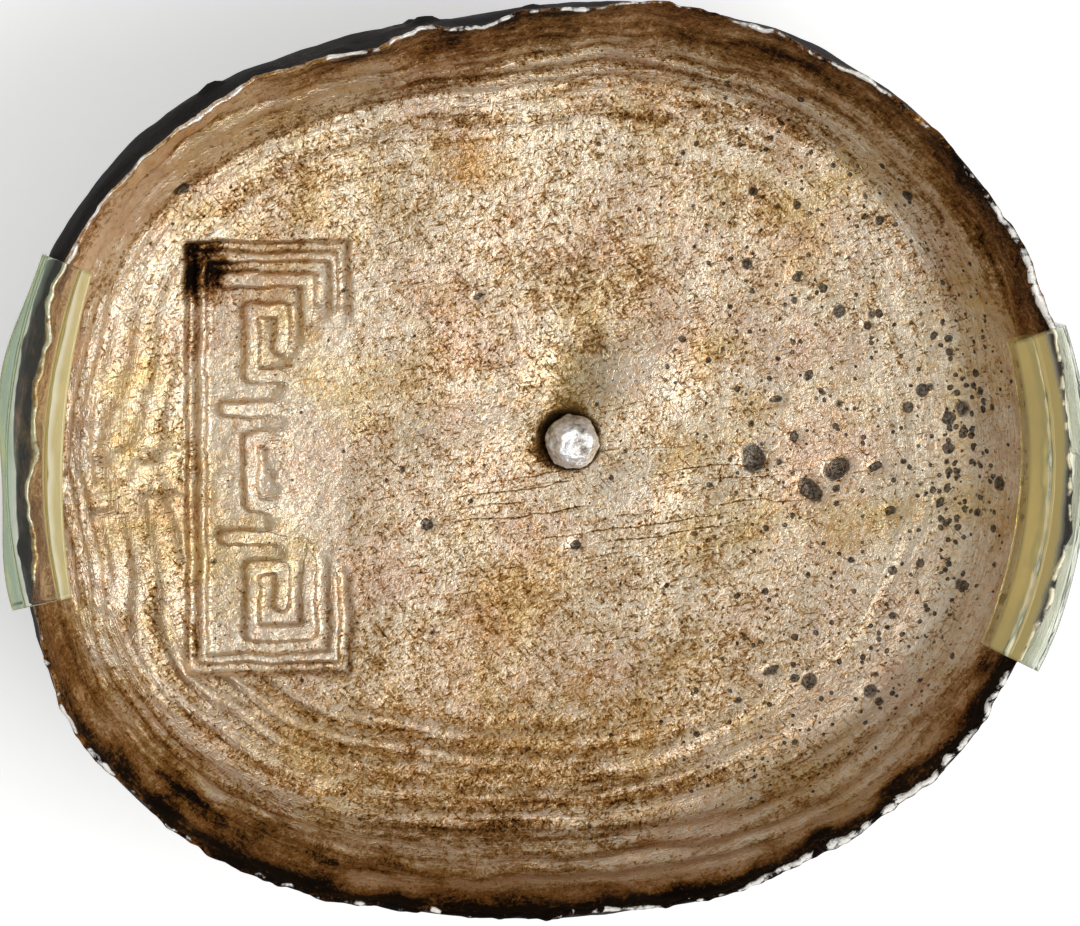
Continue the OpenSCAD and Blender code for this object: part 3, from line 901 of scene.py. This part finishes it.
# %% Long score lines
# Below the bead something was dragged across. The floor is split into slanted rows. In each row one
# thin line runs for as long as a drawn-out noise, which differs from row to row, is high
ROW_W, ROW_TILT, ROW_BOW, ROW_STEP, LINE_L, LINE_W = 0.8, 6, 2.2, 7.7, 20, 0.08
rows = {"Vector": place, "Rotation": (0, 0, math.radians(ROW_TILT))}
rows["Scale"] = (LINE_L * MM, ROW_W * MM, MM)
rows = add("Mapping", rows, vector_type="TEXTURE")
bowed = (cloud["Color"], (0, ROW_BOW, 0), rows)
bowed = add("VectorMath", bowed, operation="MULTIPLY_ADD")
in_row = add("SeparateXYZ", (bowed,))
number = add("Math", (in_row["Y"],), operation="FLOOR")
stretch = add("Math", (number, ROW_STEP, in_row["X"]), operation="MULTIPLY_ADD")
stretch = add("TexNoise", {"W": stretch, "Scale": 1.6}, noise_dimensions="1D")
stretch = add("MapRange", (stretch, 0.46, 0.56, 0, marks["scored"]))
score = add("Math", (in_row["Y"], 0.5), operation="PINGPONG")
score = add("MapRange", (score, 0.5 - LINE_W / ROW_W, 0.5, 0, stretch))
print("score lines are up to", LINE_L, "mm long")

# %% Small gas pits
# Pits are the middles of warped noise cells, and each cell's own colour says how large its pit is.
# Each kind is the spacing of its cells and the largest pit's radius in mm, and how rare large ones are
PIT_KINDS, PIT_WARP = ((0.5, 0.17, 2.0), (0.9, 0.3, 3.4), (2.0, 0.55, 6)), 0.5
warped = (coarse["Color"], (PIT_WARP * MM, PIT_WARP * MM, 0), place)
warped = add("VectorMath", warped, operation="MULTIPLY_ADD")
hole = add("Math", (fine, 0.4, marks["pits"]), operation="MULTIPLY_ADD")
hole = add("MapRange", (hole, 0.5, 0.64))
for apart, largest, rare in PIT_KINDS:
    cells = add("TexVoronoi", {"Vector": warped, "Scale": per(apart)})
    luck = add("SeparateColor", (cells["Color"],))
    luck = add("Math", (luck, rare), operation="POWER")
    luck = add("Math", (luck, marks["gas"]), operation="MULTIPLY")
    deep = add("Math", (luck, largest / apart), operation="MULTIPLY")
    deep = add("Math", (deep, cells["Distance"]), operation="SUBTRACT")
    deep = add("MapRange", (deep, 0, 0.06))
    hole = add("Math", (hole, deep), operation="MAXIMUM")
print("kinds of pits:", len(PIT_KINDS))

# %% Fine lines along the rim
# Between the ripples lie finer streaks, too close for the mesh. Their noise is drawn out along the
# rim: it changes slowly over the plan and fast with the distance from the rim
STREAK_L, STREAK_W = 8, 1.1
depth = add("Math", (marks["flow"], 1 / STREAK_W), operation="MULTIPLY")
depth = add("CombineXYZ", {"Z": depth})
drawn = (place, (per(STREAK_L), per(STREAK_L), 0), depth)
drawn = add("VectorMath", drawn, operation="MULTIPLY_ADD")
drawn = {"Vector": drawn, "Scale": 1, "Detail": 5, "Roughness": 0.72}
streak = add("TexNoise", drawn)
streak = add("Math", (streak, 0.5), operation="SUBTRACT")
streak = add("Math", (streak, marks["lines"]), operation="MULTIPLY")
print("streaks are", STREAK_L, "mm long")

# %% Edges of the struck lines
# Each point keeps its distance to the nearest edge in the panel, below zero on top of a line. From
# that come the rubbed top of a line and a darker line at its foot, which is painted shade
ragged = add("Math", (coarse, 0.6, marks["to_edge"]), operation="MULTIPLY_ADD")
worn_top = add("MapRange", (ragged, 0.32, 0.2))
painted_foot_shade = add("Math", (ragged, 0.42), operation="SUBTRACT")
painted_foot_shade = add("Math", (painted_foot_shade,), operation="ABSOLUTE")
painted_foot_shade = add("MapRange", (painted_foot_shade, 0.16, 0.04))
# The dark at the foot of each line is painted shade
print("lines keep dirt at their feet")

# %% From straw to black
FILM = (
    (0.00, "#EBDCC4"),
    (0.14, "#CBB38E"),
    (0.30, "#A7875C"),
    (0.50, "#7F5A2F"),
    (0.70, "#513417"),
    (0.86, "#28180C"),
    (1.00, "#0E0805"),
)
# How much each pattern adds to the tarnish, over its own middle value
PATTERNS = (
    (coarse, 0.85, 0.49),
    (grain, 0.85, 0.49),
    (tints["Red"], 0.35, 0.5),
    (streak, 1.7, 0),
    (score, 0.6, 0),
    (dull, 0.36, 0.2),
    (bright, -0.42, 0.2),
    (speck, 0.32, 0.15),
    (worn_top, -0.14, 0),
    (painted_foot_shade, 0.2, 0),
)
# Besides tarnish, this number carries painted shade and painted light: on the walls, at the right of the
# floor and round the bead
film_and_shading = marks["tarnish"]
for pattern, amount, middle in PATTERNS:
    film_and_shading = add("Math", (pattern, amount, film_and_shading), operation="MULTIPLY_ADD")
    film_and_shading = add("Math", (film_and_shading, amount * middle), operation="SUBTRACT")
film = add("ValToRGB", (film_and_shading,), stops=FILM)
print("film colours:", len(FILM))

# %% Casts of colour
# Each cast is its pattern, its colour and its share where it is strongest
CASTS = (
    (tints["Green"], "#E6C6C0", 0.5),
    (tints["Blue"], "#E9D8A6", 0.8),
    (hues["Green"], "#F0CC98", 0.6),
    (hues["Blue"], "#CBC8CC", 0.35),
)
for pattern, code, most in CASTS:
    amount = add("MapRange", (pattern, 0.48, 0.66, 0, most))
    cast = {0: amount, 6: film, 7: srgb(code)}
    film = add("Mix", cast, data_type="RGBA", blend_type="MULTIPLY")[2]
print("casts:", len(CASTS))

# %% Stains, dirt in the pits and bare silver
# Amber shows only where the film is thin, and bare silver only in torn specks
thin = add("MapRange", (film_and_shading, 0.4, 0.8, 0.65, 0))
stain = add("Math", (marks["amber"], thin), operation="MULTIPLY")
# Besides bare silver on the crest, this brings out bare silver where the painted highlights lie round
# the bead
bare = marks["bare"]
for pattern, amount in ((grain, 1.6), (coarse, 1.6)):
    bare = add("Math", (pattern, amount, bare), operation="MULTIPLY_ADD")
crest_and_painted_highlights = add("Math", (marks["bare"], 4), operation="MULTIPLY", use_clamp=True)
bare = add("MapRange", (bare, 1.95, 2.35, 0, crest_and_painted_highlights))
filled = add("MapRange", (fine, 0.35, 0.65, 0.98, 0.7))
hole = add("Math", (hole, filled), operation="MULTIPLY")
olive = add("Math", (marks["olive"], 0.4), operation="MULTIPLY")
LAYERS = ((stain, "#B07C3A"), (olive, "#8E7A48"), (hole, "#2D2A27"), (bare, "#F4F1EB"))
for amount, code in LAYERS:
    film = add("Mix", {0: amount, 6: film, 7: srgb(code)}, data_type="RGBA")[2]
print("layers over the film:", len(LAYERS))

# %% Gloss and fine relief of the silver
# Thick tarnish hides the metal, so it is rough and hardly mirrors
gloss = add("MapRange", (film_and_shading, 0, 1, 0.36, 0.7))
metal = add("MapRange", (film_and_shading, 0.45, 0.95, 0.88, 0.15))
metal = add("Math", (bare, 0.5, metal), operation="MULTIPLY_ADD", use_clamp=True)
# How high each pattern stands: one below zero is a hollow
BUMPS = (
    (fine, -0.5),
    (grain, -1.0),
    (coarse, -1.0),
    (dull, -0.6),
    (score, -0.5),
    (hole, -1),
    (streak, -3),
    (worn_top, 1.2),
)
heights = 0
for pattern, amount in BUMPS:
    heights = add("Math", (pattern, amount, heights), operation="MULTIPLY_ADD")
bump = add("Bump", {"Height": heights, "Strength": 0.8, "Distance": 0.07 * MM})
skin = {"Base Color": film, "Roughness": gloss, "Metallic": metal, "Normal": bump}
skin["Specular IOR Level"] = 0.06
finish_material(silver, skin, ingot)

# %% [markdown]
# ## Bare hammered silver
# The bead is rubbed clean, so it shows the white of silver. It is too rough to mirror the dish: flat
# spots stay white, the knocks between them are grey, and a little tarnish is left low on its sides.

# %% Bead material
hammered, add, place = new_material("bare_hammered_silver")
knocks = {"Vector": place, "Scale": per(0.3), "Detail": 4, "Roughness": 0.65}
knocks = add("TexNoise", knocks)
patch = add("TexNoise", {"Vector": place, "Scale": per(1.1), "Detail": 3})
cleaned = add("SeparateXYZ", (place,))["Z"]
cleaned = add("MapRange", (cleaned, (FLOOR_H - 0.5) * MM, (FLOOR_H + 0.5) * MM))
for pattern, amount in ((knocks, 1.7), (patch, 2.6)):
    cleaned = add("Math", (pattern, amount, cleaned), operation="MULTIPLY_ADD")
cleaned = add("MapRange", (cleaned, 2.0, 3.6))
CLEAN = ((0.08, "#2E2822"), (0.34, "#8E867C"), (0.55, "#D6D1C9"), (0.74, "#FFFFFF"))
clean = add("ValToRGB", (cleaned,), stops=CLEAN)
knocked = add("Math", (patch, 2, knocks), operation="MULTIPLY_ADD")
bump = add("Bump", {"Height": knocked, "Strength": 0.9, "Distance": 0.12 * MM})
skin = {"Base Color": clean, "Roughness": 0.38, "Metallic": 0.8, "Normal": bump}
finish_material(hammered, skin, bead)

# %% [markdown]
# ## Clear moulded plastic
# The clips are clear acrylic that has yellowed a little and gone faintly milky. The thin bridge lets
# the rim show through. The outer leg is seen along its length, which gathers a green tint, and the
# thick inner leg scatters light and glows pale yellow. So each point of a clip keeps how far across
# the section it lies, and a ramp gives the tint there. Clear plastic hardly shades what is under it.

# %% Clip material
# The tints also paint two lines: a dark green one at 0.745, a painted reflection inside the plastic, and
# a bright one from 0.77 to 0.79, a painted highlight along the roll
TINTS_AND_PAINTED_LINES = (
    (0.00, "#E4E6B0"),
    (0.07, "#B4C8B0"),
    (0.14, "#C6D2B8"),
    (0.20, "#F6F6EA"),
    (0.42, "#F3F0DC"),
    (0.52, "#DAC682"),
    (0.72, "#DECB86"),
    (0.745, "#5E6A3C"),
    (0.77, "#F4EEC0"),
    (0.79, "#FFFCE8"),
    (0.86, "#F3EAB8"),
    (1.00, "#EDE2A6"),
)
# How much light passes straight through: white is all of it
# It is lowest at the bright line, so that the painted highlight shows there
CLEARNESS = (
    (0.00, "#D0D0D0"),
    (0.10, "#E0E0E0"),
    (0.17, "#FFFFFF"),
    (0.42, "#FFFFFF"),
    (0.52, "#D0D0D0"),
    (0.72, "#D0D0D0"),
    (0.77, "#A0A0A0"),
    (0.82, "#A8A8A8"),
    (0.88, "#D0D0D0"),
    (1.00, "#C0C0C0"),
)
plastic, add, place = new_material("clear_moulded_acrylic")
tint_at = add("Attribute", {}, attribute_name="across")["Fac"]
swirl = add("TexNoise", {"Vector": place, "Scale": per(3), "Detail": 2})
haze = add("TexNoise", {"Vector": place, "Scale": per(0.6), "Detail": 4})
tint_at = add("Math", (swirl, 0.16, tint_at), operation="MULTIPLY_ADD")
tint_at = add("Math", (tint_at, 0.08), operation="SUBTRACT")
tint = add("ValToRGB", (tint_at,), stops=TINTS_AND_PAINTED_LINES)
cloudy = add("MapRange", (haze, 0, 1, 0.01, 0.1))
clear = add("ValToRGB", (tint_at,), stops=CLEARNESS)
bump = add("Bump", {"Height": swirl, "Strength": 0.3, "Distance": 0.2 * MM})
skin = {"Base Color": tint, "Roughness": cloudy, "Normal": bump}
skin |= {"IOR": 1.49, "Transmission Weight": clear}
finish_material(plastic, skin, left_clip, right_clip)
left_clip.visible_shadow = right_clip.visible_shadow = False

# %% [markdown]
# ## Pieces and bodies
# Each piece stands for one CAD node and rides on that node's body, so the clips lift off with theirs.

# %% Tie the pieces to the frame
PIECES = (
    (ingot, "ingot_body", "ingot", "toned_silver"),
    (bead, "centre_bead", "ingot", "bright_silver"),
    (left_clip, "left_clip", "left_clip", "clear_plastic"),
    (right_clip, "right_clip", "right_clip", "clear_plastic"),
)
for piece, node, body, finish in PIECES:
    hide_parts(node)
    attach(piece, body)
    print(piece.name, "stands for", node)

# %% [markdown]
# ## Floor, light and camera
# The ingot was photographed from nearly straight above on white. A wide softbox hangs overhead, to
# the lower right, so the floor of the dish and its left wall are bright and the far wall falls off.
# The camera is far back with a long lens, at the same slight slant.

# %% White floor
# The paper is lifted to full white only where it is seen, so it throws no more light on the ingot
PAPER_LIFT, PAPER_SIZE, PAPER_DROP = 0.36, 3, 0.0002

bpy.ops.object.select_all(action="DESELECT")
bpy.ops.mesh.primitive_plane_add(size=PAPER_SIZE, location=(0, 0, -PAPER_DROP))
floor = bpy.context.object
floor.name = "paper_floor"
paper, add, place = new_material("matt_white_paper")
fibre = add("TexNoise", {"Vector": place, "Scale": per(2), "Detail": 3})
shade = add("ValToRGB", (fibre,), stops=((0, "#FAFAF9"), (1, "#FEFEFD")))
rays = add("LightPath", {})
seen = rays["Is Camera Ray"]
for kind in ("Is Glossy Ray", "Is Transmission Ray"):
    seen = add("Math", (rays[kind], seen), operation="MAXIMUM")
lift = add("Math", (seen, PAPER_LIFT), operation="MULTIPLY")
skin = {"Base Color": shade, "Roughness": 0.9}
skin |= {"Emission Color": srgb("#FFFFFF"), "Emission Strength": lift}
finish_material(paper, skin, floor)

# %% Softbox and sky
BOX_SIZE, BOX_AT, BOX_LEVEL, SKY_LEVEL = 0.4, Vector((0.34, -0.17, 0.52)), 4.2, 0.5
world = bpy.data.worlds.new("pale_room")
world.use_nodes = True
world.node_tree.nodes["Background"].inputs["Color"].default_value = srgb("#FFFFFF")
world.node_tree.nodes["Background"].inputs["Strength"].default_value = SKY_LEVEL
bpy.context.scene.world = world
bpy.ops.object.light_add(type="AREA", location=BOX_AT)
softbox = bpy.context.object
softbox.rotation_euler = (-BOX_AT).to_track_quat("-Z", "Y").to_euler()
softbox.data.size = BOX_SIZE
softbox.data.energy = BOX_LEVEL * math.pi * BOX_SIZE**2
print("softbox:", round(softbox.data.energy, 2), "W")

# %% Camera
FRAME_W, DISTANCE, SLANT_X, SLANT_Y = 67.2, 400, -4.2, 3.5
AIM_X, AIM_Y = -0.2, 0.1
target = Vector((AIM_X, AIM_Y, INGOT_H)) * MM
aside = Vector((math.tan(math.radians(SLANT_X)), math.tan(math.radians(SLANT_Y)), 1)).normalized()
bpy.ops.object.camera_add(location=target + aside * DISTANCE * MM)
camera = bpy.context.object
right = Vector((0, 1, 0)).cross(aside).normalized()
camera.rotation_euler = Matrix((right, aside.cross(right), aside)).transposed().to_euler()
camera.data.lens = camera.data.sensor_width * DISTANCE / FRAME_W
bpy.context.scene.camera = camera
bpy.context.scene.view_settings.view_transform = "Standard"
print("lens:", round(camera.data.lens), "mm")
